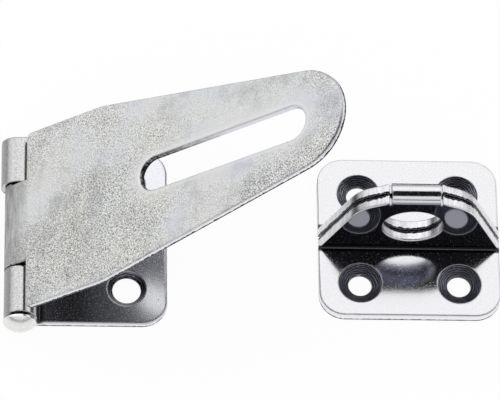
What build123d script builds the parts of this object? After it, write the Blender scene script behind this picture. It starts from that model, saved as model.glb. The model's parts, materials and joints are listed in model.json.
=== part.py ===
from build123d import *
import math
import os

os.makedirs("parts", exist_ok=True)

# Padlock hasp of zinc-plated sheet steel: a hinged slotted strap and a folded staple plate.
# X runs from the hinge to the staple, Y along the hinge pin, Z away from the surface that
# the hasp is screwed to. The origin lies on the fixed leaf's back face, midway between its
# two outer screw holes. The strap stands half open, and the staple lies further out than
# in use, as photographed.

# Sheet and hinge barrel
hinge_sheet = 1.3
knuckle_diameter = 6.9
hinge_width = 41.4
strap_knuckle_width = 19.4
knuckle_gap = 0.3
strap_curl_end_angle = 385.0
leaf_curl_end_angle = 315.0
leaf_flank_angle = 80.0
leaf_bend_radius = 0.5
far_knuckle_bulge = 0.9
top_edge_round = 0.55

# Fixed leaf, measured from the pin's axis
leaf_reach = 31.0
leaf_corner_radius = 5.5
leaf_outer_hole_x = 22.4
leaf_outer_hole_spacing = 24.6
leaf_inner_hole_x = 12.0
leaf_hole_diameter = 6.0
leaf_countersink_diameter = 8.3
leaf_hole_land = 0.3

# Strap, measured along it from the pin's axis
strap_angle = 39.0
strap_tip_reach = 85.5
strap_tip_radius = 11.4
strap_shoulder = 24.0
strap_shoulder_radius = 14.0
strap_back_clearance = 0.1
strap_back_corner_radius = 1.2
slot_width = 7.5
slot_length = 41.8
slot_to_tip = 9.4

# Pin
pin_clearance = 0.05
pin_head_gap = 0.75
pin_cap_gap = 0.1
pin_head_diameter = 7.0
pin_head_rim = 0.45
pin_head_dome = 1.65
pin_cap_diameter = 6.2
pin_cap_rim = 0.3
pin_cap_dome = 0.5

# Staple plate, folded from one sheet, with its middle measured from the pin's axis
staple_sheet = 2.1
staple_width = 38.5
staple_centre_x = 82.3
near_foot_reach = 18.3
far_foot_reach = 19.0
foot_corner_radius = 5.5
foot_bend_radius = 0.4
ear_gap = 0.5
staple_height = 24.2
neck_width = 10.2
neck_notch_width = 0.5
neck_notch_depth = 0.7
ear_top_drop = 2.0
ear_shoulder_half_width = 11.9
ear_shoulder_drop = 5.0
ear_shoulder_radius = 9.0
eye_diameter = 12.7
eye_height = 12.1
staple_hole_spacing_x = 21.0
staple_hole_spacing_y = 21.2
staple_hole_diameter = 5.0
staple_countersink_diameter = 9.4
staple_hole_land = 0.8
staple_edge_round = 0.3

# Cutters run this far past what they cut
cut_overshoot = 1.0

# Sizes that follow
knuckle_radius = knuckle_diameter / 2
bore_radius = knuckle_radius - hinge_sheet
pin_radius = bore_radius - pin_clearance
axis_height = pin_head_diameter / 2
half_width = hinge_width / 2
half_strap_knuckle = strap_knuckle_width / 2
leaf_knuckle_start = half_strap_knuckle + knuckle_gap

flank = math.radians(leaf_flank_angle)
both_radii = knuckle_radius + leaf_bend_radius
bend_centre_z = hinge_sheet + leaf_bend_radius
flank_drop = axis_height - bend_centre_z + both_radii * math.cos(flank)
flank_length = flank_drop / math.sin(flank)
bend_foot_x = both_radii * math.sin(flank) + flank_length * math.cos(flank)

half_gap = ear_gap / 2
ear_outer_y = half_gap + staple_sheet
foot_start_y = ear_outer_y + foot_bend_radius
ear_start_z = staple_sheet + foot_bend_radius
fold_centre_z = staple_height - ear_outer_y
half_staple = staple_width / 2


def ring_sector(centre, inner_radius, outer_radius, start_angle, end_angle):
    """A flat piece of ring, which is the section of a bent stretch of sheet."""
    sweep_angle = end_angle - start_angle
    outer = CenterArc(centre, outer_radius, start_angle, sweep_angle)
    inner = CenterArc(centre, inner_radius, start_angle, sweep_angle)
    first_side = Line(outer @ 0, inner @ 0)
    last_side = Line(outer @ 1, inner @ 1)
    return make_face([outer, first_side, inner, last_side])


def rectangle(low, high):
    """A rectangle from its low corner to its high corner."""
    width = high[0] - low[0]
    height = high[1] - low[1]
    return Pos(low[0] + width / 2, low[1] + height / 2) * Rectangle(width, height)


def along_hinge(section, y_low, y_high):
    """A section drawn in X and Z, made solid from y_low to y_high."""
    placed = Pos(0, y_high, 0) * (Plane.XZ * section)
    return extrude(placed, amount=y_high - y_low)


def countersunk_hole(x, y, sheet, land, hole_diameter, countersink_diameter):
    """The cutter for a screw hole: straight through the land, then widening to the top."""
    hole_radius = hole_diameter / 2
    widening = countersink_diameter / 2 - hole_radius
    cone_height = 2 * (sheet - land)
    straight = Pos(x, y, sheet / 2) * Cylinder(hole_radius, sheet + 2 * cut_overshoot)
    cone = Cone(hole_radius, hole_radius + 2 * widening, cone_height)
    return straight + Pos(x, y, land + cone_height / 2) * cone


def round_top_edges(plate, top_z, radius, keep):
    """Rounds the edges round the plate's top face that keep() accepts."""
    edges = []
    for edge in plate.edges():
        middle = edge.center()
        level = abs(middle.Z - top_z) < 0.001 and edge.bounding_box().size.Z < 0.001
        if level and keep(middle):
            edges.append(edge)
    return fillet(edges, radius)


def leaf_knuckle_section(bulge):
    """A leaf knuckle from its end: a bend, a steep flank, and a curl round the pin.

    The curl's outer half stands away from the pin and the leaf by the bulge.
    """
    flank_side = 90 - leaf_flank_angle
    section = ring_sector(
        (bend_foot_x, bend_centre_z),
        leaf_bend_radius,
        leaf_bend_radius + hinge_sheet,
        180 + flank_side,
        270,
    )
    section += ring_sector((0, axis_height), bore_radius, knuckle_radius, flank_side, 90)
    section += ring_sector((-bulge, axis_height), bore_radius, knuckle_radius, 90, 270)
    section += ring_sector((0, axis_height), bore_radius, knuckle_radius, 270, leaf_curl_end_angle)
    if bulge > 0:
        curl_low = axis_height - knuckle_radius
        curl_high = axis_height + knuckle_radius
        section += rectangle((-bulge, curl_low), (0, curl_low + hinge_sheet))
        section += rectangle((-bulge, curl_high - hinge_sheet), (0, curl_high))

    out_x = math.sin(flank)
    out_z = math.cos(flank)
    foot_x = bend_foot_x - leaf_bend_radius * out_x
    foot_z = bend_centre_z - leaf_bend_radius * out_z
    flank_outline = Polyline(
        (knuckle_radius * out_x, axis_height + knuckle_radius * out_z),
        (foot_x, foot_z),
        (foot_x - hinge_sheet * out_x, foot_z - hinge_sheet * out_z),
        (bore_radius * out_x, axis_height + bore_radius * out_z),
        close=True,
    )
    return section + make_face(flank_outline.edges())


def make_hinge_leaf():
    """Fixed leaf: a flat plate whose two outer tongues bend up and curl over the pin."""
    outline = rectangle((bend_foot_x, -half_width), (leaf_reach, half_width))
    outer_corners = outline.vertices().sort_by(Axis.X)[-2:]
    outline = fillet(outer_corners, leaf_corner_radius)
    leaf = extrude(outline, amount=hinge_sheet)
    leaf = round_top_edges(leaf, hinge_sheet, top_edge_round, lambda p: p.X > bend_foot_x + 0.1)
    near_knuckle = leaf_knuckle_section(0)
    leaf += along_hinge(near_knuckle, -half_width, -leaf_knuckle_start)
    far_knuckle = leaf_knuckle_section(far_knuckle_bulge)
    leaf += along_hinge(far_knuckle, leaf_knuckle_start, half_width)

    screw_places = [
        (leaf_inner_hole_x, 0),
        (leaf_outer_hole_x, -leaf_outer_hole_spacing / 2),
        (leaf_outer_hole_x, leaf_outer_hole_spacing / 2),
    ]
    for x, y in screw_places:
        leaf -= countersunk_hole(
            x,
            y,
            hinge_sheet,
            leaf_hole_land,
            leaf_hole_diameter,
            leaf_countersink_diameter,
        )
    return leaf


def strap_outline():
    """The strap's flat blank from above: a broad root that tapers to a round tip.

    The root's lower edge swings past the bulged knuckle with the back clearance.
    """
    root_swing = knuckle_radius + far_knuckle_bulge + strap_back_clearance
    root_x = math.sqrt(root_swing ** 2 - bore_radius ** 2)
    tip_x = strap_tip_reach - strap_tip_radius
    shoulder_reach = math.hypot(tip_x - strap_shoulder, half_width)
    shoulder_bearing = math.atan2(half_width, strap_shoulder - tip_x)
    tangent_angle = shoulder_bearing - math.acos(strap_tip_radius / shoulder_reach)
    tangent_x = tip_x + strap_tip_radius * math.cos(tangent_angle)
    tangent_y = strap_tip_radius * math.sin(tangent_angle)

    sides = Polyline(
        (tangent_x, tangent_y),
        (strap_shoulder, half_width),
        (root_x, half_width),
        (root_x, -half_width),
        (strap_shoulder, -half_width),
        (tangent_x, -tangent_y),
    )
    tip = ThreePointArc((tangent_x, -tangent_y), (strap_tip_reach, 0), (tangent_x, tangent_y))
    blank = make_face([*sides.edges(), tip])

    corners = blank.vertices()
    back_corners = [v for v in corners if abs(v.X - root_x) < 0.001]
    blank = fillet(back_corners, strap_back_corner_radius)
    shoulders = [v for v in blank.vertices() if abs(v.X - strap_shoulder) < 0.001]
    blank = fillet(shoulders, strap_shoulder_radius)
    tongue_end = root_x + strap_back_corner_radius
    tongue = rectangle((0, -half_strap_knuckle), (tongue_end, half_strap_knuckle))
    return blank + tongue


def make_hasp_strap():
    """Strap: the slotted blank, its middle tongue curled over the pin, then swung open."""
    slot_end = strap_tip_reach - slot_to_tip
    slot_middle = slot_end - slot_length / 2
    slot = Pos(slot_middle, 0) * SlotOverall(slot_length, slot_width)
    blank = strap_outline() - slot
    strap_top = axis_height + knuckle_radius
    strap = Pos(0, 0, axis_height + bore_radius) * extrude(blank, amount=hinge_sheet)
    strap = round_top_edges(strap, strap_top, top_edge_round, lambda p: p.X > 0.1)
    curl = ring_sector((0, axis_height), bore_radius, knuckle_radius, 90, strap_curl_end_angle)
    strap += along_hinge(curl, -half_strap_knuckle, half_strap_knuckle)
    swing = Axis((0, 0, axis_height), (0, -1, 0))
    return strap.rotate(swing, strap_angle)


def rivet_end(diameter, rim, dome):
    """Section of a rivet head: half its outline, turned about the pin's axis."""
    radius = diameter / 2
    sphere_radius = (radius ** 2 + dome ** 2) / (2 * dome)
    half_bearing = math.asin(radius / sphere_radius) / 2
    middle = (
        sphere_radius * math.sin(half_bearing),
        rim + dome - sphere_radius * (1 - math.cos(half_bearing)),
    )
    sides = Polyline((0, rim + dome), (0, 0), (radius, 0), (radius, rim))
    crown = ThreePointArc((radius, rim), middle, (0, rim + dome))
    return make_face([*sides.edges(), crown])


def make_hinge_pin():
    """Pin: a plain shank with a domed head at the near end and a shallow cap at the far end."""
    head_seat = half_width + pin_head_gap
    cap_seat = half_width + pin_cap_gap
    shank_middle = (cap_seat - head_seat) / 2
    shank = Pos(0, shank_middle, 0) * (Rot(90, 0, 0) * Cylinder(pin_radius, head_seat + cap_seat))
    head = revolve(rivet_end(pin_head_diameter, pin_head_rim, pin_head_dome), Axis.Y)
    cap = revolve(rivet_end(pin_cap_diameter, pin_cap_rim, pin_cap_dome), Axis.Y)
    near_head = Pos(0, -head_seat, 0) * (Rot(180, 0, 0) * head)
    far_cap = Pos(0, cap_seat, 0) * cap
    return Pos(0, 0, axis_height) * (shank + near_head + far_cap)


def ear_outline():
    """The staple from the front: broad at the feet, round shoulders, narrow neck."""
    neck = neck_width / 2
    notch = neck + neck_notch_width
    ear_top_z = staple_height - ear_top_drop
    shoulder_z = staple_height - ear_shoulder_drop
    half = [
        (0, staple_height + cut_overshoot),
        (neck, staple_height + cut_overshoot),
        (neck, ear_top_z - neck_notch_depth),
        (notch, ear_top_z - neck_notch_depth),
        (notch, ear_top_z),
        (ear_shoulder_half_width, shoulder_z),
        (half_staple, staple_sheet),
        (0, staple_sheet),
    ]
    right = make_face(Polyline(*half, close=True).edges())
    shoulder = [v for v in right.vertices() if abs(v.X - ear_shoulder_half_width) < 0.001]
    right = fillet(shoulder, ear_shoulder_radius)
    return right + mirror(right, Plane.YZ)


def staple_ear(outline):
    """The flat stretch of the far ear, its outer edges rounded."""
    flat = rectangle((-half_staple, ear_start_z), (half_staple, fold_centre_z))
    ear = along_hinge(outline & flat, half_gap, ear_outer_y)
    outer_edges = []
    for edge in ear.edges():
        box = edge.bounding_box()
        on_outer_face = box.size.Y < 0.001 and abs(box.min.Y - ear_outer_y) < 0.001
        if on_outer_face and box.size.Z > neck_notch_depth:
            outer_edges.append(edge)
    return fillet(outer_edges, staple_edge_round)


def staple_bends(outline):
    """The fold over the top and the two bends into the feet, as wide as the outline there."""
    outer_bend = foot_bend_radius + staple_sheet
    section = ring_sector((0, fold_centre_z), half_gap, ear_outer_y, 0, 180)
    section += ring_sector((foot_start_y, ear_start_z), foot_bend_radius, outer_bend, 180, 270)
    section += ring_sector((-foot_start_y, ear_start_z), foot_bend_radius, outer_bend, 270, 360)
    bends = extrude(Pos(-half_staple, 0, 0) * (Plane.YZ * section), amount=staple_width)
    below = rectangle((-half_staple, -cut_overshoot), (half_staple, staple_sheet))
    return bends & along_hinge(outline + below, -foot_start_y, foot_start_y)


def staple_foot(reach, side):
    """One foot on the given side of the ears, its corners and top edges rounded."""
    plan = rectangle((-half_staple, foot_start_y), (half_staple, reach))
    plan = fillet(plan.vertices().sort_by(Axis.Y)[-2:], foot_corner_radius)
    foot = extrude(plan, amount=staple_sheet)
    foot = round_top_edges(foot, staple_sheet, staple_edge_round, lambda p: p.Y > foot_start_y + 0.1)
    if side < 0:
        foot = mirror(foot, Plane.XZ)
    return foot


def make_staple_plate():
    """Staple: one folded sheet of two feet and two ears, with its eye and four screw holes."""
    outline = ear_outline()
    far_ear = staple_ear(outline)
    plate = staple_bends(outline) + far_ear + mirror(far_ear, Plane.XZ)
    plate += staple_foot(far_foot_reach, 1)
    plate += staple_foot(near_foot_reach, -1)

    eye_length = 2 * (ear_outer_y + cut_overshoot)
    plate -= Pos(0, 0, eye_height) * (Rot(90, 0, 0) * Cylinder(eye_diameter / 2, eye_length))
    eye_rims = []
    for edge in plate.edges().filter_by(GeomType.CIRCLE):
        middle = edge.arc_center
        if abs(middle.Z - eye_height) < 0.001 and abs(abs(middle.Y) - ear_outer_y) < 0.001:
            eye_rims.append(edge)
    plate = fillet(eye_rims, staple_edge_round)

    for side_x in (-1, 1):
        for side_y in (-1, 1):
            plate -= countersunk_hole(
                side_x * staple_hole_spacing_x / 2,
                side_y * staple_hole_spacing_y / 2,
                staple_sheet,
                staple_hole_land,
                staple_hole_diameter,
                staple_countersink_diameter,
            )
    return Pos(staple_centre_x, 0, 0) * plate


def write_piece(name, piece):
    """Moves a piece from the pin's axis to the part's origin and writes its file."""
    piece = Pos(-leaf_outer_hole_x, 0, 0) * piece
    export_step(piece, "parts/" + name + ".step")


write_piece("hinge_leaf", make_hinge_leaf())
write_piece("hasp_strap", make_hasp_strap())
write_piece("hinge_pin", make_hinge_pin())
write_piece("staple_plate", make_staple_plate())
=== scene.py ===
# %% [markdown]
# # A padlock hasp, dressed for its portrait
# A hasp is two pieces of pressed sheet steel. A slotted strap turns on a pin that is riveted
# through the fixed leaf, and a folded staple stands opposite it to take the padlock's shackle.
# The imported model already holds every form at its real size, so this script adds what a
# drawing can't carry: the zinc finishes, the light, and a camera where the photographer stood.
# Blender counts in metres, and the finishes are worked out in millimetres.

# %% Load the frame
import json
import math
import bpy
from mathutils import Matrix, Vector

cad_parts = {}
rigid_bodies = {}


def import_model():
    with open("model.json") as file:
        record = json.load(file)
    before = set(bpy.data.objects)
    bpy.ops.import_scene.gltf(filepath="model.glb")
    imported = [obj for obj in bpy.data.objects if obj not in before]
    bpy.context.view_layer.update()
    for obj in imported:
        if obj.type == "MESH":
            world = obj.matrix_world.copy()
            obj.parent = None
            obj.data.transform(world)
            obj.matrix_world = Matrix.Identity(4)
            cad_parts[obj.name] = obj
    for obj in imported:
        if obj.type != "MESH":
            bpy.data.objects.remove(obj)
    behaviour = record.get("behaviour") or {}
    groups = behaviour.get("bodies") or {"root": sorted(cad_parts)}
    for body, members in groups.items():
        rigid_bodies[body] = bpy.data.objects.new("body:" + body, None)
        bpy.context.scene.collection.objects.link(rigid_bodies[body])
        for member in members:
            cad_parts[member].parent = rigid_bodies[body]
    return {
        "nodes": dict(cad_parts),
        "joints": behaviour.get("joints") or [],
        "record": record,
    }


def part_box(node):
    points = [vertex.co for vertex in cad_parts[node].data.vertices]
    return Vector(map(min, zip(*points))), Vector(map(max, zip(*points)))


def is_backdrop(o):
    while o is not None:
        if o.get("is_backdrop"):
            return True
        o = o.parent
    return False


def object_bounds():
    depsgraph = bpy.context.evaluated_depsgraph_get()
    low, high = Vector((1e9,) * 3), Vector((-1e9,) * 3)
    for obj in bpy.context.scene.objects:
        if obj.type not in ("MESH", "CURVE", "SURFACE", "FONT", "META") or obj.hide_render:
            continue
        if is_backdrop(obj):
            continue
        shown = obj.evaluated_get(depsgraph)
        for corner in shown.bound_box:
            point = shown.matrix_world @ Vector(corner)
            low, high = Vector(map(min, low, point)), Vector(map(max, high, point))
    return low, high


for left_over in list(bpy.data.objects):
    bpy.data.objects.remove(left_over)

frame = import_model()
cad_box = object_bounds()
MM = 0.001
leaf = frame["nodes"]["hinge_leaf"]
strap = frame["nodes"]["hasp_strap"]
pin = frame["nodes"]["hinge_pin"]
staple = frame["nodes"]["staple_plate"]
print("nodes:", sorted(frame["nodes"]))

# %% [markdown]
# ## The camera
# A long lens from a metre away looks down on the hasp, a little from the left, and is rolled
# a few degrees, so that the hinge leans as it does in the photograph. The camera could be
# aimed with a constraint, but its own axes are worked out here instead: it stays exactly
# where it is put, and each number is one that a photographer could read off.

# %% Place the camera
camera_distance = 1.0
camera_elevation = math.radians(61.683)
camera_azimuth = math.radians(6.052)
camera_roll = math.radians(6.109)
focal_length_in_pixels = 4681
image_width_in_pixels = 500
sensor_width_mm = 36.0
nearest_seen = 0.01
target = Vector((26.369 * MM, 9.965 * MM, 0))

forward = Vector((
    math.sin(camera_azimuth) * math.cos(camera_elevation),
    math.cos(camera_azimuth) * math.cos(camera_elevation),
    -math.sin(camera_elevation),
))
level_right = Vector((math.cos(camera_azimuth), -math.sin(camera_azimuth), 0))
level_up = level_right.cross(forward)
right = math.cos(camera_roll) * level_right + math.sin(camera_roll) * level_up
up = math.cos(camera_roll) * level_up - math.sin(camera_roll) * level_right

lens = bpy.data.cameras.new("long_lens")
lens.sensor_width = sensor_width_mm
lens.lens = focal_length_in_pixels / image_width_in_pixels * sensor_width_mm
lens.clip_start = nearest_seen
camera = bpy.data.objects.new("camera", lens)
axes = Matrix((right, up, -forward)).transposed().to_4x4()
camera.matrix_world = Matrix.Translation(target - forward * camera_distance) @ axes
bpy.context.scene.collection.objects.link(camera)
bpy.context.scene.camera = camera
print("camera at", [round(value, 3) for value in camera.location], "lens", round(lens.lens), "mm")

# %% [markdown]
# ## Two helpers for every material
# Colours are written as the hex values that a paint chart or a photograph gives, and one
# function turns them into the linear numbers that the renderer works in. A second function
# adds a node, sets its values, joins its inputs and hands back what the node works out, so
# that each finish below reads as a list of what happens to the metal. The nodes could be
# placed by hand in the editor, but a list can be read, compared and changed more easily.

# %% Helpers
def colour(hex_value):
    """A colour written as #rrggbb, in linear light, by the numbers of the sRGB standard."""
    channels = [int(hex_value[start:start + 2], 16) / 255 for start in (1, 3, 5)]
    linear = [c / 12.92 if c <= 0.04045 else ((c + 0.055) / 1.055) ** 2.4 for c in channels]
    return (*linear, 1)


def add(tree, kind, settings=None, inputs=None):
    """Adds a node and returns its output. An input may be a value or another node's output."""
    node = tree.nodes.new(kind)
    for name, value in (settings or {}).items():
        setattr(node, name, value)
    for name, value in (inputs or {}).items():
        if isinstance(value, bpy.types.NodeSocket):
            tree.links.new(value, node.inputs[name])
        else:
            node.inputs[name].default_value = value
    return next((output for output in node.outputs if output.enabled), None)


def new_material(name):
    """An empty material and the tree of its nodes."""
    material = bpy.data.materials.new(name)
    material.use_nodes = True
    material.node_tree.nodes.clear()
    return material, material.node_tree


WHITE = (1, 1, 1, 1)
print("the middle grey #808080 is", round(colour("#808080")[0], 3), "in linear light")

# %% [markdown]
# ## Where a point is, in millimetres
# Every pattern is worked out from the place of the point on the metal, so that it stays on
# the piece when the strap swings. Object coordinates do that, where generated ones would
# stretch with the piece's box. The strap's own pattern has to lie along the strap, so its
# coordinates are turned back about the pin by the angle at which the strap stands. That angle
# comes from the hinge itself, which opens until the strap lies flat behind it.

# %% Places on the metal
swing = frame["joints"][0]
pin_place_mm = Vector(swing["pos_m"]) / MM
strap_angle = math.pi - math.radians(swing["range_deg"][1])
strap_up = Vector((-math.sin(strap_angle), 0, math.cos(strap_angle)))


def place_in_mm(tree):
    """The point's place on its piece, in millimetres."""
    coordinates = add(tree, "ShaderNodeTexCoord").node
    return add(tree, "ShaderNodeVectorMath", {"operation": "SCALE"}, {
        0: coordinates.outputs["Object"],
        "Scale": 1 / MM,
    })


def place_along_strap(tree):
    """The same place, with the strap laid flat along X and the pin's axis at zero."""
    laid_flat = add(tree, "ShaderNodeVectorRotate", {"rotation_type": "Y_AXIS"}, {
        "Vector": place_in_mm(tree),
        "Center": pin_place_mm,
        "Angle": strap_angle,
    })
    return add(tree, "ShaderNodeVectorMath", {"operation": "SUBTRACT"}, {
        0: laid_flat,
        1: pin_place_mm,
    })


def facing(tree, direction):
    """How far the surface faces a direction of its piece: 1 towards it, 0 edge on, -1 away."""
    coordinates = add(tree, "ShaderNodeTexCoord").node
    return add(tree, "ShaderNodeVectorMath", {"operation": "DOT_PRODUCT"}, {
        0: coordinates.outputs["Normal"],
        1: direction,
    })


print("the strap stands at", round(math.degrees(strap_angle), 1), "degrees")

# %% [markdown]
# ## Reading the slot from the mesh
# The finish changes at the slot's wall, so the material has to know where the slot is. Its
# size could be typed in again, but then it would be wrong as soon as the strap changed. The
# mesh knows it: on the strap's underside, the corners nearest the middle line all belong to
# the slot.

# %% Measure the strap's sheet and its slot
back_to_flat = Matrix.Rotation(strap_angle, 3, "Y")
strap_points = [back_to_flat @ (v.co / MM - pin_place_mm) for v in strap.data.vertices]
tip_mm = max(point.x for point in strap_points)
knuckle_radius_mm = -min(point.x for point in strap_points)
beyond_knuckle_mm = 2 * knuckle_radius_mm
flat_points = [point for point in strap_points if point.x > beyond_knuckle_mm]
sheet_bottom_mm = min(point.z for point in flat_points)
near_middle_mm = 6
on_the_face_mm = 0.01
slot_rim = [
    point for point in flat_points
    if point.z < sheet_bottom_mm + on_the_face_mm
    and abs(point.y) < near_middle_mm
    and point.x < tip_mm - near_middle_mm
]
slot_radius_mm = max(point.y for point in slot_rim)
slot_start_mm = min(point.x for point in slot_rim) + slot_radius_mm
slot_end_mm = max(point.x for point in slot_rim) - slot_radius_mm
print("slot", round(2 * slot_radius_mm, 2), "mm wide, its ends turned about",
      round(slot_start_mm, 2), "and", round(slot_end_mm, 2), "mm from the pin")

# %% [markdown]
# ## What tumbling leaves behind
# Small plated parts are tumbled together in a barrel, and along their edges the plating is
# rubbed smooth and bright. The rubbed edge could be painted by hand on the mesh, but the Bevel
# node finds edges by itself: near one, the rounded direction that it gives agrees less with
# the surface's own.

# %% Rubbed edges
bevel_samples = 6
agrees_on_flat = 0.99
agrees_at_edge = 0.8


def rubbed_edge(tree, width_mm):
    """0 on the flat, and up to 1 within width_mm of an edge."""
    rounded = add(tree, "ShaderNodeBevel", {"samples": bevel_samples}, {"Radius": width_mm * MM})
    surface = add(tree, "ShaderNodeNewGeometry").node
    alike = add(tree, "ShaderNodeVectorMath", {"operation": "DOT_PRODUCT"}, {
        0: rounded,
        1: surface.outputs["Normal"],
    })
    return add(tree, "ShaderNodeMapRange", None, {
        "Value": alike, "From Min": agrees_on_flat, "From Max": agrees_at_edge,
    })


print("rubbed where the rounded and true directions agree by less than", agrees_on_flat)

# %% [markdown]
# ## What the press leaves behind
# A press cuts cleanly through part of a sheet's thickness and tears through the rest, so that
# part of each edge is rough. That zone is painted dark: partly torn metal, and partly a painted
# shadow line along the bottom of the edge. The tear could be modelled as a ragged surface, but
# it is less than a millimetre high. So the depth of the point in the sheet says where it is,
# and a noise makes its limit waver. The face beside it is left out, as it wasn't torn.

# %% Torn edges
torn_depth_mm = 0.4
torn_limits_mm = (0.4 * torn_depth_mm, 1.6 * torn_depth_mm)
torn_waver_mm = 0.8
face_skin_mm = 0.02


def torn_edge_and_shade(tree, place, height_in_sheet):
    """1 in the ragged zone next to the lower face (torn metal and painted shadow), 0 on it and
    above.
    """
    waver = add(tree, "ShaderNodeTexNoise", None, {
        "Vector": place, "Scale": 1 / torn_waver_mm, "Detail": 4, "Roughness": 0.7,
    })
    limit = add(tree, "ShaderNodeMapRange", None, {
        "Value": waver,
        "From Min": 0.3,
        "From Max": 0.7,
        "To Min": torn_limits_mm[0],
        "To Max": torn_limits_mm[1],
    })
    below_limit = add(tree, "ShaderNodeMath", {"operation": "LESS_THAN"}, {
        0: height_in_sheet, 1: limit,
    })
    off_the_face = add(tree, "ShaderNodeMath", {"operation": "GREATER_THAN"}, {
        0: height_in_sheet, 1: face_skin_mm,
    })
    return add(tree, "ShaderNodeMath", {"operation": "MULTIPLY"}, {
        0: below_limit, 1: off_the_face,
    })


print("torn edges reach about", torn_depth_mm, "mm up the sheet's thickness")

# %% [markdown]
# ## Satin zinc: clouds and stains
# The strap is zinc-plated steel, tumbled and passivated, which leaves it satin: matte, and
# slightly cloudy. It is a little warmer here and a little bluer there, with a few grey stains
# and one larger worn place near the hinge. A scan of real plate would give this at once, but
# two layers of noise at real sizes do as well, and can be changed.

# %% Clouds and stains
plain_plate = "#DCDDDC"
warmer_plate = "#DDDDD9"
bluer_plate = "#D7D9DE"
cloud_mm = 12.0
grey_stain = "#93959B"
stain_mm = 7.0
stain_strength = 0.42
worn_place_mm = (21, -5, knuckle_radius_mm)
worn_reach_mm = 22
worn_middle_mm = 6


def clouded_plate(tree, place):
    """The strap's own colour, in warmer and cooler clouds, with grey stains."""
    clouds = add(tree, "ShaderNodeTexNoise", None, {
        "Vector": place, "Scale": 1 / cloud_mm, "Detail": 4,
    })
    warm = add(tree, "ShaderNodeMapRange", None, {
        "Value": clouds, "From Min": 0.5, "From Max": 0.68,
    })
    cool = add(tree, "ShaderNodeMapRange", None, {
        "Value": clouds, "From Min": 0.46, "From Max": 0.32,
    })
    base = add(tree, "ShaderNodeMix", {"data_type": "RGBA"}, {
        0: warm, 6: colour(plain_plate), 7: colour(warmer_plate),
    })
    base = add(tree, "ShaderNodeMix", {"data_type": "RGBA"}, {
        0: cool, 6: base, 7: colour(bluer_plate),
    })
    stains = add(tree, "ShaderNodeTexNoise", None, {
        "Vector": place, "Scale": 1 / stain_mm, "Detail": 6, "Roughness": 0.6,
    })
    stained = add(tree, "ShaderNodeMapRange", None, {
        "Value": stains, "From Min": 0.5, "From Max": 0.7, "To Max": stain_strength,
    })
    return add(tree, "ShaderNodeMix", {"data_type": "RGBA"}, {
        0: stained, 6: base, 7: colour(grey_stain),
    })


def worn_place(tree, place):
    """1 in the middle of the large worn place near the hinge, and 0 beyond its reach."""
    away = add(tree, "ShaderNodeVectorMath", {"operation": "DISTANCE"}, {
        0: place, 1: worn_place_mm,
    })
    return add(tree, "ShaderNodeMapRange", {"interpolation_type": "SMOOTHSTEP"}, {
        "Value": away, "From Min": worn_reach_mm, "From Max": worn_middle_mm,
    })


print("clouds of", cloud_mm, "mm and stains of", stain_mm, "mm")

# %% [markdown]
# ## Satin zinc: how far from the slot
# Three marks on the strap follow the slot: a burnished band beside it, a rubbed rim and
# painted shade on its wall. Seen from above, the slot is a line with a radius, so the distance
# from its wall is the distance from that line, less the radius. The distance could be stored in
# the mesh, one number for each corner, but the flat has too few corners to carry it.

# %% Distance from the slot
def distance_from_slot(tree, parts):
    """How far a point is, in plan, from the slot's wall. The slot is a line with a radius."""
    nearest = add(tree, "ShaderNodeClamp", None, {
        "Value": parts["X"], "Min": slot_start_mm, "Max": slot_end_mm,
    })
    past_end = add(tree, "ShaderNodeMath", {"operation": "SUBTRACT"}, {0: parts["X"], 1: nearest})
    from_line = add(tree, "ShaderNodeCombineXYZ", None, {"X": past_end, "Y": parts["Y"]})
    reach = add(tree, "ShaderNodeVectorMath", {"operation": "LENGTH"}, {0: from_line})
    return add(tree, "ShaderNodeMath", {"operation": "SUBTRACT"}, {0: reach, 1: slot_radius_mm})


print("the slot's middle line is", round(slot_end_mm - slot_start_mm, 1), "mm long")

# %% [markdown]
# ## Satin zinc: the speckle of crystals
# Zinc comes out of the bath as crystals, and they make the fine salt and pepper that covers
# the strap. On the real plate they are under a tenth of a millimetre, too fine to show at this
# distance, so they are drawn as the coarser spots that they melt into. The speckle is louder
# in some clouds than in others, and fades beside the slot, where the press burnished the
# sheet. One noise could be used everywhere at the same strength, but that looks printed.

# %% Speckle
spot_mm = 0.27
brightest_spot = 1.2
patch_mm = 2 * cloud_mm
worn_loudness = 0.15
quietest_share = 0.25
burnished_mm = (1.0, 5.0)
burnished_share = 0.35


def crystal_spots(tree, place):
    """The noise that stands for the crystals. It shades the plate and raises its relief."""
    return add(tree, "ShaderNodeTexNoise", None, {
        "Vector": place, "Scale": 1 / spot_mm, "Detail": 3, "Roughness": 0.75,
    })


def speckled(tree, place, spots, worn, from_slot):
    """The shade that the spots give, loud in some clouds and quiet beside the slot."""
    spot_shade = add(tree, "ShaderNodeMapRange", None, {
        "Value": spots, "From Min": 0.35, "From Max": 0.56, "To Max": brightest_spot,
    })
    calm = add(tree, "ShaderNodeTexNoise", None, {
        "Vector": place, "Scale": 1 / patch_mm, "Detail": 2,
    })
    loudness = add(tree, "ShaderNodeMath", {"operation": "MULTIPLY_ADD"}, {
        0: worn, 1: worn_loudness, 2: calm,
    })
    share = add(tree, "ShaderNodeMapRange", None, {
        "Value": loudness, "From Min": 0.42, "From Max": 0.66, "To Min": quietest_share,
    })
    beside_slot = add(tree, "ShaderNodeMapRange", None, {
        "Value": from_slot,
        "From Min": burnished_mm[0],
        "From Max": burnished_mm[1],
        "To Min": burnished_share,
    })
    share = add(tree, "ShaderNodeMath", {"operation": "MULTIPLY"}, {0: share, 1: beside_slot})
    return add(tree, "ShaderNodeMix", {"data_type": "RGBA"}, {0: share, 6: WHITE, 7: spot_shade})


print("speckle drawn with spots of", spot_mm, "mm, in patches of", patch_mm, "mm")
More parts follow.
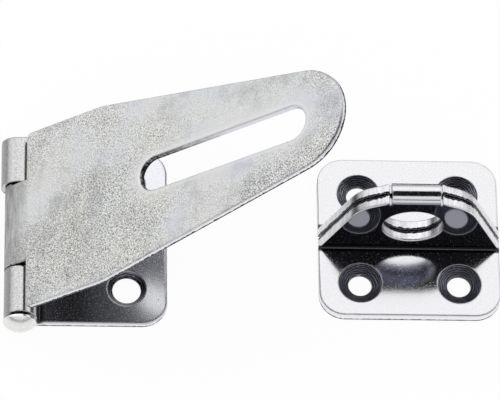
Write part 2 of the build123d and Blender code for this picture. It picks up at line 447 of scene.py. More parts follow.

# %% [markdown]
# ## Satin zinc: the slot's wall, the curl and the back edge
# Three places on the strap differ from its flat. The slot's wall is painted dark as shade, in
# blotches, at the hinge end, and the painted shade fades towards the tip. The curl round the pin
# was dragged over a tool, which left streaks along the pin. The narrow back edge beside the curl
# sits deep in the hinge and is painted dark as shade. Each could be a material of its own on its
# own faces, but the packed mesh has one material slot, so a mask finds each place by its
# coordinates.

# %% Slot wall, curl and back edge
# The slot's wall is painted shade: blotched and dark at the hinge end, fading to plain metal.
wall_blotch_mm = 0.9
wall_shades = (0.02, 0.45)
unshaded_wall_metal = "#E4E4EA"
wall_shade_fade_mm = 18
streak_mm = 0.6
streak_stretch = (1.0, 0.12, 1.0)
streak_shades = (0.1, 0.45)
curl_fades_mm = 5
curl_strength = 0.75
back_edge_mm = 1.5


def slot_wall_painted_shade(tree, place, less_shaded):
    """Painted shade: blotched and dark at the hinge end, fading towards the tip."""
    wall_blotches = add(tree, "ShaderNodeTexNoise", None, {
        "Vector": place, "Scale": 1 / wall_blotch_mm, "Detail": 3, "Roughness": 0.7,
    })
    blotch_shade = add(tree, "ShaderNodeMapRange", None, {
        "Value": wall_blotches,
        "From Min": 0.48,
        "From Max": 0.6,
        "To Min": wall_shades[0],
        "To Max": wall_shades[1],
    })
    return add(tree, "ShaderNodeMix", {"data_type": "RGBA"}, {
        0: less_shaded, 6: blotch_shade, 7: colour(unshaded_wall_metal),
    })


def curl_streaks(tree, place):
    """Streaks along the pin, where the tool dragged over the sheet."""
    drawn_out = add(tree, "ShaderNodeVectorMath", {"operation": "MULTIPLY"}, {
        0: place, 1: streak_stretch,
    })
    streaks = add(tree, "ShaderNodeTexNoise", None, {
        "Vector": drawn_out, "Scale": 1 / streak_mm, "Detail": 4, "Roughness": 0.7,
    })
    return add(tree, "ShaderNodeMapRange", None, {
        "Value": streaks,
        "From Min": 0.35,
        "From Max": 0.65,
        "To Min": streak_shades[0],
        "To Max": streak_shades[1],
    })


def back_edge(tree, parts, upright):
    """1 on the strap's narrow back edge beside the curl."""
    at_the_back = add(tree, "ShaderNodeMath", {"operation": "LESS_THAN"}, {
        0: parts["X"], 1: knuckle_radius_mm + back_edge_mm,
    })
    return add(tree, "ShaderNodeMath", {"operation": "MULTIPLY"}, {0: at_the_back, 1: upright})


print("the slot's wall is cleaner from", round(slot_start_mm + wall_shade_fade_mm, 1), "mm on")

# %% [markdown]
# ## Satin zinc: the top of the strap
# The layers go on in the order in which the real marks came: plate, stains, speckle, and last
# the rims that were rubbed. Round the slot the rubbed band is wider than the edge alone would
# give, so the distance from the slot adds to it. Each layer could be a shader, mixed with the
# next, but mixing their colours is enough, because the metal below them is the same.

# %% Top of the strap
worn_plate = "#8C8E94"
worn_strength = 0.05
rubbed_plate = "#E2E2E5"
rubbed_mm = 1.1
rubbed_strength = 0.8
rim_mm = 1.3
rim_strength = 0.5


def rubbed_strap(tree, from_slot):
    """1 along the strap's edges, and about the slot's rim, which is rubbed over a wider band."""
    rim = add(tree, "ShaderNodeMapRange", None, {
        "Value": from_slot, "From Min": rim_mm, "From Max": 0.7 * rim_mm, "To Max": rim_strength,
    })
    return add(tree, "ShaderNodeMath", {"operation": "MAXIMUM"}, {
        0: rubbed_edge(tree, rubbed_mm), 1: rim,
    })


def top_of_strap(tree, place, worn, speckle, rubbed):
    """Plate, stains, speckle and rubbed rims."""
    worn_share = add(tree, "ShaderNodeMath", {"operation": "MULTIPLY"}, {
        0: worn, 1: worn_strength,
    })
    base = add(tree, "ShaderNodeMix", {"data_type": "RGBA"}, {
        0: worn_share, 6: clouded_plate(tree, place), 7: colour(worn_plate),
    })
    base = add(tree, "ShaderNodeMix", {"data_type": "RGBA", "blend_type": "MULTIPLY"}, {
        0: 1.0, 6: base, 7: speckle,
    })
    rubbed_share = add(tree, "ShaderNodeMath", {"operation": "MULTIPLY"}, {
        0: rubbed, 1: rubbed_strength,
    })
    return add(tree, "ShaderNodeMix", {"data_type": "RGBA"}, {
        0: rubbed_share, 6: base, 7: colour(rubbed_plate),
    })


print("rubbed", rubbed_mm, "mm in from the edges and", rim_mm, "mm round the slot")

# %% [markdown]
# ## Satin zinc: the edges of the strap
# The sheared edges are pale: clean cut metal, painted lighter as a highlight. Over them go the
# painted shade of the slot's wall, the streaks of the curl, the painted shade of the back edge
# and the torn metal with its painted shadow line, each through its own mask. The masks could
# be one painted picture, but then it would have to be painted again for a strap of another size.

# %% Edges of the strap
# Sheared edges: pale cut metal, painted lighter as a highlight.
sheared_metal_and_highlight = "#ECECF2"
# Torn zone: dark torn metal and a painted shadow line.
torn_metal_and_shade = "#2C2C30"
# Painted shade, for the back edge and the bends, and for the torn zone of leaf and staple.
painted_shade_and_torn_dark = "#202024"


def edges_of_strap(tree, place, parts, from_slot, base):
    """The base colour with the sheared edges, the slot's wall, the curl and the torn edge."""
    # The sheared edges are painted pale as a highlight over the cut metal.
    upright = add(tree, "ShaderNodeMapRange", None, {
        "Value": facing(tree, strap_up), "From Min": 0.6, "From Max": 0.3,
    })
    base = add(tree, "ShaderNodeMix", {"data_type": "RGBA"}, {
        0: upright, 6: base, 7: colour(sheared_metal_and_highlight),
    })
    # The slot's wall is painted dark as shade, fading towards the tip.
    slot_wall = add(tree, "ShaderNodeMapRange", None, {
        "Value": from_slot, "From Min": 0.3, "From Max": 0.1,
    })
    less_shaded = add(tree, "ShaderNodeMapRange", None, {
        "Value": parts["X"],
        "From Min": slot_start_mm,
        "From Max": slot_start_mm + wall_shade_fade_mm,
    })
    base = add(tree, "ShaderNodeMix", {"data_type": "RGBA"}, {
        0: slot_wall, 6: base, 7: slot_wall_painted_shade(tree, place, less_shaded),
    })
    curled = add(tree, "ShaderNodeMapRange", None, {
        "Value": parts["X"], "From Min": curl_fades_mm, "From Max": 0, "To Max": curl_strength,
    })
    base = add(tree, "ShaderNodeMix", {"data_type": "RGBA"}, {
        0: curled, 6: base, 7: curl_streaks(tree, place),
    })
    # The back edge is painted dark as shade.
    base = add(tree, "ShaderNodeMix", {"data_type": "RGBA"}, {
        0: back_edge(tree, parts, upright), 6: base, 7: colour(painted_shade_and_torn_dark),
    })
    # The torn zone is dark torn metal and a painted shadow line.
    height_in_strap = add(tree, "ShaderNodeMath", {"operation": "SUBTRACT"}, {
        0: parts["Z"], 1: sheet_bottom_mm,
    })
    less_shaded_wall = add(tree, "ShaderNodeMath", {"operation": "MULTIPLY"}, {0: less_shaded, 1: slot_wall})
    torn = add(tree, "ShaderNodeMath", {"operation": "SUBTRACT", "use_clamp": True}, {
        0: torn_edge_and_shade(tree, place, height_in_strap), 1: less_shaded_wall,
    })
    return add(tree, "ShaderNodeMix", {"data_type": "RGBA"}, {
        0: torn, 6: base, 7: colour(torn_metal_and_shade),
    })


print("sheared metal", sheared_metal_and_highlight, "torn metal", torn_metal_and_shade, "painted_shade_and_torn_dark", painted_shade_and_torn_dark)

# %% [markdown]
# ## Satin zinc, put together
# Zinc is a metal, so metallic is 1 and the colour is that of its reflection. A roughness of
# 0.46 gives satin, and a rubbed edge is a little smoother. The underside is glossier, and its
# colour is painted darker as shade, because it is what the leaf mirrors, and the leaf below the
# strap is nearly black in the photograph. Each side could have a material of its own, but the
# imported mesh has one material slot, so the direction of the face says which side it is.

# %% Satin zinc
satin_roughness = 0.46
rubbed_roughness = 0.36
underside_roughness = 0.14
# The underside's colour is painted shade.
underside_painted_shade = "#7E7F85"
crystal_height_mm = 0.01
crystal_relief = 0.8


def satin_zinc():
    """Satin zinc-plated steel: a wide, soft highlight, broken up by fine crystals."""
    material, tree = new_material("satin_zinc_plated_steel")
    place = place_along_strap(tree)
    parts = add(tree, "ShaderNodeSeparateXYZ", None, {0: place}).node.outputs
    from_slot = distance_from_slot(tree, parts)
    spots = crystal_spots(tree, place)
    worn = worn_place(tree, place)
    speckle = speckled(tree, place, spots, worn, from_slot)
    rubbed = rubbed_strap(tree, from_slot)
    base = top_of_strap(tree, place, worn, speckle, rubbed)
    base = edges_of_strap(tree, place, parts, from_slot, base)

    # The underside is painted darker as shade, and is glossier.
    underside = add(tree, "ShaderNodeMapRange", None, {
        "Value": facing(tree, strap_up), "From Min": -0.5, "From Max": -0.9,
    })
    painted_dark_underside = add(tree, "ShaderNodeMix", {"data_type": "RGBA", "blend_type": "MULTIPLY"}, {
        0: 1.0, 6: colour(underside_painted_shade), 7: speckle,
    })
    base = add(tree, "ShaderNodeMix", {"data_type": "RGBA"}, {0: underside, 6: base, 7: painted_dark_underside})
    rough = add(tree, "ShaderNodeMapRange", None, {
        "Value": rubbed, "To Min": satin_roughness, "To Max": rubbed_roughness,
    })
    rough = add(tree, "ShaderNodeMapRange", None, {
        "Value": underside, "To Min": rough, "To Max": underside_roughness,
    })
    relief = add(tree, "ShaderNodeBump", None, {
        "Strength": crystal_relief, "Distance": crystal_height_mm * MM, "Height": spots,
    })
    shader = add(tree, "ShaderNodeBsdfPrincipled", None, {
        "Base Color": base, "Metallic": 1.0, "Roughness": rough, "Normal": relief,
    })
    add(tree, "ShaderNodeOutputMaterial", None, {"Surface": shader})
    return material


strap.data.materials[0] = satin_zinc()
print("strap finished in", strap.data.materials[0].name)

# %% [markdown]
# ## Where the screw holes are
# The leaf and the staple are screwed down through countersunk holes, and the finish has to
# know how far a point is from the nearest one. Their places could be typed in again, but the
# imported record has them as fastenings, with their spacing, so the distance comes from there.
# Folding the plan over its middle lines makes one hole stand for all four.

# %% Distance from the nearest hole
mounts = {mount["name"]: mount for mount in frame["record"]["mounts"]}


def distance_from_holes(tree, place, mount):
    """How far the point is, in plan, from the middle of a mount's nearest hole."""
    centre = Vector(mount["pos_m"]) / MM
    dims = mount["dims"]
    half_spacing = Vector((dims.get("spacing_x_mm", 0), dims.get("spacing_y_mm", 0), 0)) / 2
    from_centre = add(tree, "ShaderNodeVectorMath", {"operation": "SUBTRACT"}, {
        0: place, 1: centre,
    })
    folded = add(tree, "ShaderNodeVectorMath", {"operation": "ABSOLUTE"}, {0: from_centre})
    from_hole = add(tree, "ShaderNodeVectorMath", {"operation": "SUBTRACT"}, {
        0: folded, 1: half_spacing,
    })
    in_plan = add(tree, "ShaderNodeVectorMath", {"operation": "MULTIPLY"}, {
        0: from_hole, 1: (1, 1, 0),
    })
    return add(tree, "ShaderNodeVectorMath", {"operation": "LENGTH"}, {0: in_plan})


print("fastenings in the record:", sorted(mounts))

# %% [markdown]
# ## The rings that the drill bit left
# The countersinks were turned with a drill bit, which leaves fine rings and a rougher metal
# than the sheet round it. Real rings are finer than a tenth of a millimetre. They are drawn
# wider, so that they show. A Wave texture could draw them, but it is centred on one place. So
# the sine of the distance makes them round every hole, one noise lets them wander, and another
# adds nicks.

# %% Turned rings
ring_mm = 0.42
ring_wander_mm = 1 / 0.7
ring_wander = 12
nick_strength = 3
half_blur_mm = 0.05


def turned_cone(tree, place, radius, cone_radius_mm):
    """Where the countersinks are, and the rings that the drill bit left in them."""
    cone = add(tree, "ShaderNodeMapRange", None, {
        "Value": radius,
        "From Min": cone_radius_mm + half_blur_mm,
        "From Max": cone_radius_mm - half_blur_mm,
    })
    wander = add(tree, "ShaderNodeTexNoise", None, {
        "Vector": place, "Scale": 1 / ring_wander_mm, "Detail": 3,
    })
    turns = add(tree, "ShaderNodeMath", {"operation": "MULTIPLY"}, {
        0: radius, 1: 2 * math.pi / ring_mm,
    })
    phase = add(tree, "ShaderNodeMath", {"operation": "MULTIPLY_ADD"}, {
        0: wander, 1: ring_wander, 2: turns,
    })
    rings = add(tree, "ShaderNodeMath", {"operation": "SINE"}, {0: phase})
    nicks = add(tree, "ShaderNodeTexNoise", None, {
        "Vector": place, "Scale": 1 / ring_mm, "Detail": 3, "Roughness": 0.8,
    })
    nicks = add(tree, "ShaderNodeMath", {"operation": "MULTIPLY_ADD"}, {
        0: nicks, 1: nick_strength, 2: -nick_strength / 2,
    })
    return cone, add(tree, "ShaderNodeMath", {"operation": "ADD"}, {0: rings, 1: nicks})


print("turned rings drawn", ring_mm, "mm apart")

# %% [markdown]
# ## Bright zinc: the ears
# The leaf and the staple were plated bright, so they mirror what stands round them, a little
# blurred. How much depends on the face. The staple's ears were pressed against polished tools
# and are almost mirrors, and their colour is painted darker as shade. Such faces could be
# picked by hand, but the direction in which they look tells them apart, and it stays right when
# the sheet's size changes.

# %% Ears
# The ears' colour is painted darker as shade.
ear_painted_shade = "#80818C"
ear_roughness = 0.06
ear_unevenness = 0.02


def finish_ears(tree, along, sheet, grain, base, rough):
    """Painted-shade colour, roughness and relief of the faces pressed against polished tools."""
    to_side = add(tree, "ShaderNodeMath", {"operation": "ABSOLUTE"}, {0: along["Y"]})
    on_ear = add(tree, "ShaderNodeMapRange", None, {
        "Value": to_side, "From Min": 0.9, "From Max": 0.99,
    })
    unevenness = add(tree, "ShaderNodeMapRange", None, {
        "Value": on_ear, "To Min": sheet["unevenness"], "To Max": ear_unevenness,
    })
    height = add(tree, "ShaderNodeMath", {"operation": "MULTIPLY"}, {0: grain, 1: unevenness})
    rough = add(tree, "ShaderNodeMapRange", None, {
        "Value": on_ear, "To Min": rough, "To Max": ear_roughness,
    })
    base = add(tree, "ShaderNodeMix", {"data_type": "RGBA"}, {
        0: on_ear, 6: base, 7: colour(ear_painted_shade),
    })
    return base, rough, height


print("ears nearly mirror, at a roughness of", ear_roughness)

# %% [markdown]
# ## Bright zinc: sheared ends
# The punch slid past the faces that it cut, and left strokes on them across the thickness of
# the sheet. On the staple they show best at the ends of the ears. A picture of scratches could
# be wrapped round them, but a noise drawn out along one axis needs only a width and a stretch.
# Real strokes are finer than a pixel, so these are drawn half a millimetre wide.

# %% Sheared ends
stroke_mm = 0.5
stroke_stretch = (1.0, 0.1, 1.0)
stroke_shades = (0.8, 1.12)
sheared_roughness = 0.3


def finish_sheared_ends(tree, place, along, base, rough):
    """Strokes that the punch left on the faces it cut through."""
    to_end = add(tree, "ShaderNodeMath", {"operation": "ABSOLUTE"}, {0: along["X"]})
    sheared = add(tree, "ShaderNodeMapRange", None, {
        "Value": to_end, "From Min": 0.2, "From Max": 0.35,
    })
    drawn_out = add(tree, "ShaderNodeVectorMath", {"operation": "MULTIPLY"}, {
        0: place, 1: stroke_stretch,
    })
    strokes = add(tree, "ShaderNodeTexNoise", None, {
        "Vector": drawn_out, "Scale": 1 / stroke_mm, "Detail": 4, "Roughness": 0.7,
    })
    stroke_shade = add(tree, "ShaderNodeMapRange", None, {
        "Value": strokes,
        "From Min": 0.35,
        "From Max": 0.6,
        "To Min": stroke_shades[0],
        "To Max": stroke_shades[1],
    })
    base = add(tree, "ShaderNodeMix", {"data_type": "RGBA", "blend_type": "MULTIPLY"}, {
        0: sheared, 6: base, 7: stroke_shade,
    })
    rough = add(tree, "ShaderNodeMapRange", None, {
        "Value": sheared, "To Min": rough, "To Max": sheared_roughness,
    })
    return base, rough


print("strokes", stroke_mm, "mm wide and", round(stroke_mm / stroke_stretch[1], 1), "mm long")

# %% [markdown]
# ## Bright zinc: the sides of the plate
# The thin sides of leaf and feet, and their rounded edges, are matte and pale: cut metal,
# painted lighter as a highlight. Faces that look down are painted dark and bluish as shade.
# They could be chosen face by face in the editor, but the height over the door and the
# direction of the face find them on a plate of any size.

# %% Sides of the plate
# The sides: pale cut metal, painted lighter as a highlight.
side_plate_and_highlight = "#F4F4F8"
side_roughness = 0.5
# Faces that look down are painted dark as shade.
downward_painted_shade = "#686A84"


def finish_plate_sides(tree, level, along, sheet, base, rough):
    """The plate's thin sides and rounded edges, and every face that looks down."""
    in_plate = add(tree, "ShaderNodeMath", {"operation": "LESS_THAN"}, {
        0: level, 1: sheet["thickness_mm"],
    })
    sideways = add(tree, "ShaderNodeMapRange", None, {
        "Value": along["Z"], "From Min": 0.7, "From Max": 0.3,
    })
    plate_side = add(tree, "ShaderNodeMath", {"operation": "MULTIPLY"}, {0: in_plate, 1: sideways})
    # The sides are painted pale as a highlight over the cut metal.
    base = add(tree, "ShaderNodeMix", {"data_type": "RGBA"}, {
        0: plate_side, 6: base, 7: colour(side_plate_and_highlight),
    })
    tilted = add(tree, "ShaderNodeMapRange", None, {
        "Value": along["Z"], "From Min": 0.99, "From Max": 0.95,
    })
    plate_edge = add(tree, "ShaderNodeMath", {"operation": "MULTIPLY"}, {0: in_plate, 1: tilted})
    rough = add(tree, "ShaderNodeMapRange", None, {
        "Value": plate_edge, "To Min": rough, "To Max": side_roughness,
    })
    # Faces that look down are painted dark as shade.
    downward = add(tree, "ShaderNodeMapRange", None, {
        "Value": along["Z"], "From Min": -0.1, "From Max": -0.6,
    })
    base = add(tree, "ShaderNodeMix", {"data_type": "RGBA"}, {
        0: downward, 6: base, 7: colour(downward_painted_shade),
    })
    return base, rough


print("sides of the plate are matte, at a roughness of", side_roughness)

# %% [markdown]
# ## Bright zinc: countersinks
# The countersinks show their turned rings, with painted glints on the brightest of them, a cone
# painted dark as shade and a painted highlight along the rim. The rings could be modelled as
# grooves, but at this size a change of shade and a touch of relief look the same.

# %% Countersinks
# The cone's colour is painted shade, the brightest rings are painted glints, the rim a highlight.
cone_painted_shade = "#6A6B73"
cone_roughness = 0.3
ring_shades_and_glints = (0.28, 3.0)
rim_painted_highlight = "#F2F2F5"
rim_line_mm = (0.18, 0.08)
rim_line_strength = 0.6


def finish_countersinks(tree, place, screws, base, rough):
    """Turned rings with painted glints, painted shade and a painted rim highlight, and ring
    height.
    """
    distances = [distance_from_holes(tree, place, mount) for mount in screws["mounts"]]
    radius = distances[0]
    for other in distances[1:]:
        radius = add(tree, "ShaderNodeMath", {"operation": "MINIMUM"}, {0: radius, 1: other})
    cone, rings = turned_cone(tree, place, radius, screws["cone_radius_mm"])
    ring_shade = add(tree, "ShaderNodeMapRange", None, {
        "Value": rings,
        "From Min": 0.2,
        "From Max": 1.7,
        "To Min": ring_shades_and_glints[0],
        "To Max": ring_shades_and_glints[1],
    })
    cone_base = add(tree, "ShaderNodeMix", {"data_type": "RGBA", "blend_type": "MULTIPLY"}, {
        0: 1.0, 6: colour(cone_painted_shade), 7: ring_shade,
    })
    base = add(tree, "ShaderNodeMix", {"data_type": "RGBA"}, {0: cone, 6: base, 7: cone_base})
    off_rim = add(tree, "ShaderNodeMath", {"operation": "SUBTRACT"}, {
        0: radius, 1: screws["cone_radius_mm"],
    })
    off_rim = add(tree, "ShaderNodeMath", {"operation": "ABSOLUTE"}, {0: off_rim})
    rim = add(tree, "ShaderNodeMapRange", None, {
        "Value": off_rim,
        "From Min": rim_line_mm[0],
        "From Max": rim_line_mm[1],
        "To Max": rim_line_strength,
    })
    base = add(tree, "ShaderNodeMix", {"data_type": "RGBA"}, {
        0: rim, 6: base, 7: colour(rim_painted_highlight),
    })
    rough = add(tree, "ShaderNodeMapRange", None, {
        "Value": cone, "To Min": rough, "To Max": cone_roughness,
    })
    ring_height = add(tree, "ShaderNodeMath", {"operation": "MULTIPLY"}, {0: rings, 1: cone})
    return base, rough, ring_height


print("countersinks of", cone_painted_shade, "with a rim of", rim_painted_highlight)

# %% [markdown]
# ## Bright zinc: knuckles
# The leaf's outer tongues were curled round the pin, which left them grainier and greyer than
# the flat, and the side that faces -X is painted darker as shade. They could be cut off the leaf
# as pieces of their own, but they are one sheet with it, so the height over the door says where
# they begin.

# %% Knuckles
knuckle_roughness = 0.24
knuckle_shades = (0.46, 0.74)
# How dark the painted shade makes the side that faces -X.
painted_side_shade = 0.5


def finish_knuckles(tree, level, along, grain, sheet, base, rough):
    """Grainy, greyer plate where the sheet is curled, with painted shade on the side facing -X."""
    knuckles = add(tree, "ShaderNodeMath", {"operation": "GREATER_THAN"}, {
        0: level, 1: sheet["knuckles_from_mm"],
    })
    knuckle_shade = add(tree, "ShaderNodeMapRange", None, {
        "Value": grain,
        "From Min": 0.32,
        "From Max": 0.6,
        "To Min": knuckle_shades[0],
        "To Max": knuckle_shades[1],
    })
    # Painted shade on the side that faces -X.
    shaded_side = add(tree, "ShaderNodeMapRange", None, {
        "Value": along["X"],
        "From Min": -0.75,
        "From Max": 0.15,
        "To Min": painted_side_shade,
        "To Max": 1.0,
    })
    knuckle_shade = add(tree, "ShaderNodeMath", {"operation": "MULTIPLY"}, {
        0: knuckle_shade, 1: shaded_side,
    })
    base = add(tree, "ShaderNodeMix", {"data_type": "RGBA"}, {
        0: knuckles, 6: base, 7: knuckle_shade,
    })
    rough = add(tree, "ShaderNodeMapRange", None, {
        "Value": knuckles, "To Min": rough, "To Max": knuckle_roughness,
    })
    return base, rough


print("knuckles shaded", knuckle_shades, "and", painted_side_shade, "of that where they were pressed")

# %% [markdown]
# ## Bright zinc: creases
# The inside of each bend is painted with a dark line of shade. The Ambient Occlusion node
# could find every corner by itself, but it would darken the holes and the gap between the ears
# as well. A line at a known height and distance from the middle is all that is needed.

# %% Creases
crease_strength = 0.9
crease_core_share = 0.6


def crease(tree, place, sheet):
    """1 along the inside of a bend, where shade is painted. The bend lies either side of zero."""
    parts = add(tree, "ShaderNodeSeparateXYZ", None, {0: place}).node.outputs
    aside = add(tree, "ShaderNodeMath", {"operation": "ABSOLUTE"}, {
        0: parts[sheet["crease_axis"]],
    })
    here = add(tree, "ShaderNodeCombineXYZ", None, {"X": aside, "Z": parts["Z"]})
    middle = (sheet["crease_aside_mm"], 0, sheet["crease_height_mm"])
    away = add(tree, "ShaderNodeVectorMath", {"operation": "DISTANCE"}, {0: here, 1: middle})
    reach = sheet["crease_reach_mm"]
    return add(tree, "ShaderNodeMapRange", None, {
        "Value": away,
        "From Min": reach,
        "From Max": crease_core_share * reach,
        "To Max": crease_strength,
    })


print("creases are darkened by", crease_strength)

# %% [markdown]
# ## Bright zinc, put together
# Bright zinc-plated steel is blue-white and mirrors softly. Its roughness is 0.1 to 0.2 on
# the flat, and a fine grain breaks the mirror image up. The real grain is finer than a pixel
# and is drawn as spots of a third of a millimetre. Where it is strongest the plate is pitted
# and scatters light, which flecks its dark reflections. The round eye is made of small flat
# faces, and the Bevel node smooths the light over them. Each piece could have a finish of its
# own, but both came out of the same bath, so one function makes it for both, and the few
# things that differ are handed in.

# %% Bright zinc
grain_mm = 0.35
brightest_grain = 1.03
pit_roughness = 0.4
ring_relief = 0.6
relief_mm = 0.02
smoothed_mm = 0.4


def bright_zinc(name, hex_value, roughness, height_in_sheet, screws, sheet):
    """Bright zinc-plated steel on one piece, with its screw holes and its sheet's values."""
    material, tree = new_material(name)
    place = place_in_mm(tree)
    level = add(tree, "ShaderNodeSeparateXYZ", None, {0: place}).node.outputs["Z"]
    faces = add(tree, "ShaderNodeTexCoord").node
    along = add(tree, "ShaderNodeSeparateXYZ", None, {0: faces.outputs["Normal"]}).node.outputs
    grain = add(tree, "ShaderNodeTexNoise", None, {
        "Vector": place, "Scale": 1 / grain_mm, "Detail": 3, "Roughness": 0.75,
    })
    shade = add(tree, "ShaderNodeMapRange", None, {
        "Value": grain,
        "From Min": 0.3,
        "From Max": 0.6,
        "To Min": sheet["pit_shade"],
        "To Max": brightest_grain,
    })
    base = add(tree, "ShaderNodeMix", {"data_type": "RGBA", "blend_type": "MULTIPLY"}, {
        0: 1.0, 6: colour(hex_value), 7: shade,
    })
    pitted = add(tree, "ShaderNodeMapRange", None, {
        "Value": grain,
        "From Min": 0.57,
        "From Max": 0.7,
        "To Min": roughness,
        "To Max": pit_roughness,
    })
    base, rough, height = finish_ears(tree, along, sheet, grain, base, pitted)
    base, rough = finish_sheared_ends(tree, place, along, base, rough)
    base, rough = finish_plate_sides(tree, level, along, sheet, base, rough)
    base, rough, ring_height = finish_countersinks(tree, place, screws, base, rough)
    base, rough = finish_knuckles(tree, level, along, grain, sheet, base, rough)
    # Painted shade in the bends, and the torn zone painted dark as torn metal and shadow.
    dark = add(tree, "ShaderNodeMath", {"operation": "MAXIMUM"}, {
        0: crease(tree, place, sheet),
        1: torn_edge_and_shade(tree, place, height_in_sheet(tree, place)),
    })
    base = add(tree, "ShaderNodeMix", {"data_type": "RGBA"}, {0: dark, 6: base, 7: colour(painted_shade_and_torn_dark)})

    height = add(tree, "ShaderNodeMath", {"operation": "MULTIPLY_ADD"}, {
        0: ring_height, 1: ring_relief, 2: height,
    })
    smoothed = add(tree, "ShaderNodeBevel", {"samples": bevel_samples}, {
        "Radius": smoothed_mm * MM,
    })
    relief = add(tree, "ShaderNodeBump", None, {
        "Strength": 1.0, "Distance": relief_mm * MM, "Height": height, "Normal": smoothed,
    })
    shader = add(tree, "ShaderNodeBsdfPrincipled", None, {
        "Base Color": base, "Metallic": 1.0, "Roughness": rough, "Normal": relief,
    })
    add(tree, "ShaderNodeOutputMaterial", None, {"Surface": shader})
    return material


print("grain drawn with spots of", grain_mm, "mm")

# %% [markdown]
# ## How high a point is in its sheet
# The torn edge lies at one face of the sheet, so the finish has to know how deep in the sheet
# a point is. For the leaf that is simply its height above the door. The staple's sheet stands
# up in the two ears and turns over at the top, so there the depth is the distance from the
# gap between the ears. The sheet's gauge and the gap are read from the mesh.

# %% Heights in the two sheets
staple_points = [v.co / MM for v in staple.data.vertices]
staple_top_mm = max(point.z for point in staple_points)
staple_end_mm = max(point.y for point in staple_points)
near_end_mm = 1
staple_sheet_mm = max(p.z for p in staple_points if p.y > staple_end_mm - near_end_mm)
ear_heights_mm = (2 * staple_sheet_mm, staple_top_mm / 2)
half_gap_mm = min(
    abs(p.y) for p in staple_points if ear_heights_mm[0] < p.z < ear_heights_mm[1]
)
fold_centre_mm = staple_top_mm - staple_sheet_mm - half_gap_mm


def height_in_leaf(tree, place):
    """The leaf lies flat, so a point's height in its sheet is simply its height."""
    return add(tree, "ShaderNodeSeparateXYZ", None, {0: place}).node.outputs["Z"]


def height_in_staple(tree, place):
    """In the feet it is the height, and in the ears the distance from the gap between them."""
    parts = add(tree, "ShaderNodeSeparateXYZ", None, {0: place}).node.outputs
    in_fold = add(tree, "ShaderNodeMath", {"operation": "SUBTRACT"}, {
        0: parts["Z"], 1: fold_centre_mm,
    })
    in_fold = add(tree, "ShaderNodeMath", {"operation": "MAXIMUM"}, {0: in_fold, 1: 0})
    across = add(tree, "ShaderNodeCombineXYZ", None, {"Y": parts["Y"], "Z": in_fold})
    from_middle = add(tree, "ShaderNodeVectorMath", {"operation": "LENGTH"}, {0: across})
    from_gap = add(tree, "ShaderNodeMath", {"operation": "SUBTRACT"}, {
        0: from_middle, 1: half_gap_mm,
    })
    return add(tree, "ShaderNodeMath", {"operation": "MINIMUM"}, {0: from_gap, 1: parts["Z"]})


print("staple of", round(staple_sheet_mm, 2), "mm sheet, its ears",
      round(2 * half_gap_mm, 2), "mm apart")

# %% [markdown]
# ## Leaf and staple
# The leaf is the greyer of the two and a little less smooth. Its bend runs across the piece,
# just inside the knuckles, and the staple's bends run along the foot of the ears, so each
# sheet hands in where its crease is. These values could be read from the mesh as well, but
# they are where the painted shade lies, which is seen in the photograph and not in the shape.
# The staple has no knuckles, so for it they would begin above its top.

# %% Leaf and staple
leaf_plate = "#E2E3E7"
leaf_roughness = 0.2
leaf_gauge_mm = 1.3
leaf_countersink_mm = 8.3
staple_metal = "#E0E0E3"
staple_roughness = 0.12
staple_countersink_mm = 9.4
unevenness = 0.18

leaf_screws = {
    "mounts": [mounts["leaf_screws"], mounts["leaf_inner_screw"]],
    "cone_radius_mm": leaf_countersink_mm / 2,
}
staple_screws = {
    "mounts": [mounts["staple_screws"]],
    "cone_radius_mm": staple_countersink_mm / 2,
}
leaf_sheet = {
    "thickness_mm": leaf_gauge_mm,
    "knuckles_from_mm": 2.0,
    "unevenness": unevenness,
    "pit_shade": 0.85,
    "crease_axis": "X",
    "crease_aside_mm": 18.4,
    "crease_height_mm": 2.2,
    "crease_reach_mm": 1.6,
}
staple_sheet = {
    "thickness_mm": staple_sheet_mm,
    "knuckles_from_mm": staple_top_mm + 1,
    "unevenness": unevenness,
    "pit_shade": 0.88,
    "crease_axis": "Y",
    "crease_aside_mm": 2.6,
    "crease_height_mm": 2.3,
    "crease_reach_mm": 0.75,
}
leaf.data.materials[0] = bright_zinc(
    "bright_zinc_plated_leaf", leaf_plate, leaf_roughness,
    height_in_leaf, leaf_screws, leaf_sheet,
)
staple.data.materials[0] = bright_zinc(
    "bright_zinc_plated_staple", staple_metal, staple_roughness,
    height_in_staple, staple_screws, staple_sheet,
)
print("finished in", leaf.data.materials[0].name, "and", staple.data.materials[0].name)

# %% [markdown]
# ## The pin
# The pin is mild steel, cut to length and riveted over at both ends after the hinge was put
# together. Its two heads are hammered, rubbed and bright, and the shank between them sits deep
# in the curls and is painted nearly black as shade. It could be two materials, but head and
# shank are one solid, so the place along the pin says which is which: the heads stand a small,
# known distance off the leaf's sides.

# %% Pin
head_gap_mm = 0.75
cap_gap_mm = 0.1
overlap_mm = 0.01
head_metal = "#EDEDEB"
head_roughness = 0.26
dent_mm = 0.8
dent_shades = (0.85, 1.05)
dent_depth_mm = 0.02
# The shank's colour is painted shade.
shank_painted_shade = "#1C1C1E"
leaf_low, leaf_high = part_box("hinge_leaf")
head_seat_mm = leaf_low.y / MM - head_gap_mm + overlap_mm
cap_seat_mm = leaf_high.y / MM + cap_gap_mm - overlap_mm


